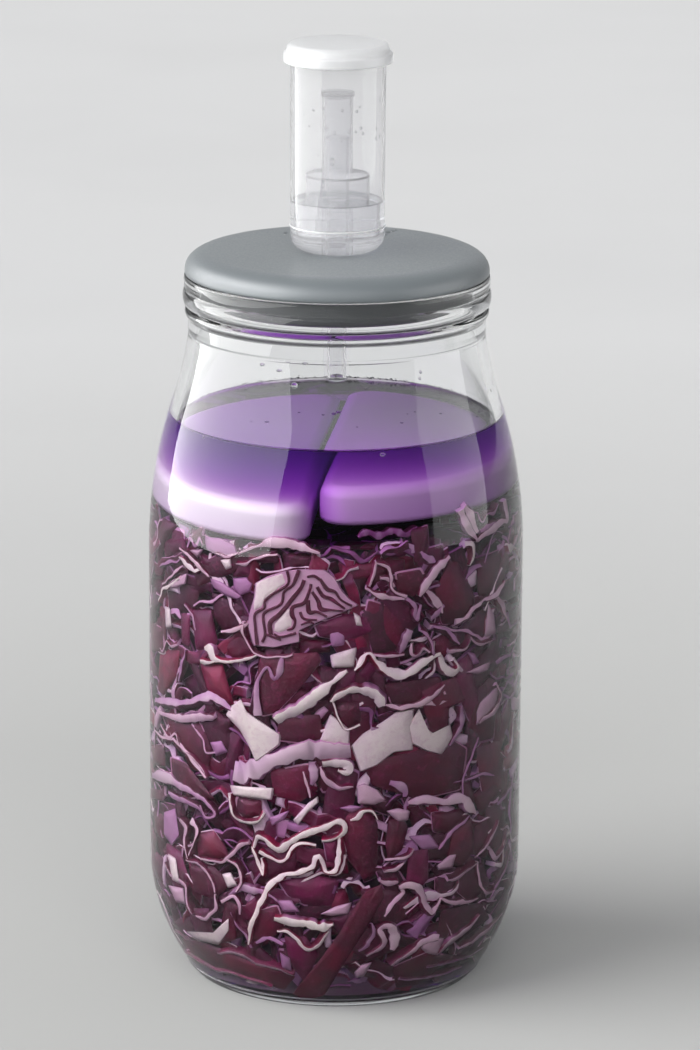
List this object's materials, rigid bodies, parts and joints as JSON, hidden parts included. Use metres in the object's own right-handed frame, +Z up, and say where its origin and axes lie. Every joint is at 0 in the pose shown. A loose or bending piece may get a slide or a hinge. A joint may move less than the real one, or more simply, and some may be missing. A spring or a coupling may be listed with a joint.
{
  "type": "fermentation jar",
  "caption": "Clear wide-mouth glass jar of shredded red cabbage in brine, with half-moon weights, a silicone lid and a water-filled airlock.",
  "frame": {"origin": "middle of the jar's base, on the surface it stands on", "axes": "+Z up along the jar's axis, -Y towards the picture's camera"},
  "size_m": [0.14, 0.14, 0.3533],
  "materials": {
    "clear_glass": "clear, polished",
    "grey_silicone": "satin",
    "clear_plastic": "clear plastic",
    "clear_water": "clear water",
    "milky_plastic": "milky, slightly see-through",
    "white_stoneware": "glazed",
    "red_cabbage": "moist leaf"
  },
  "bodies": {
    "root": {"glass_jar": "clear_glass", "lid": "grey_silicone", "airlock_body": "clear_plastic", "airlock_float": "clear_plastic", "airlock_water": "clear_water", "airlock_cap": "milky_plastic", "weight_left": "white_stoneware", "weight_right": "white_stoneware", "cabbage_heap": "red_cabbage"}
  },
  "joints": []
}
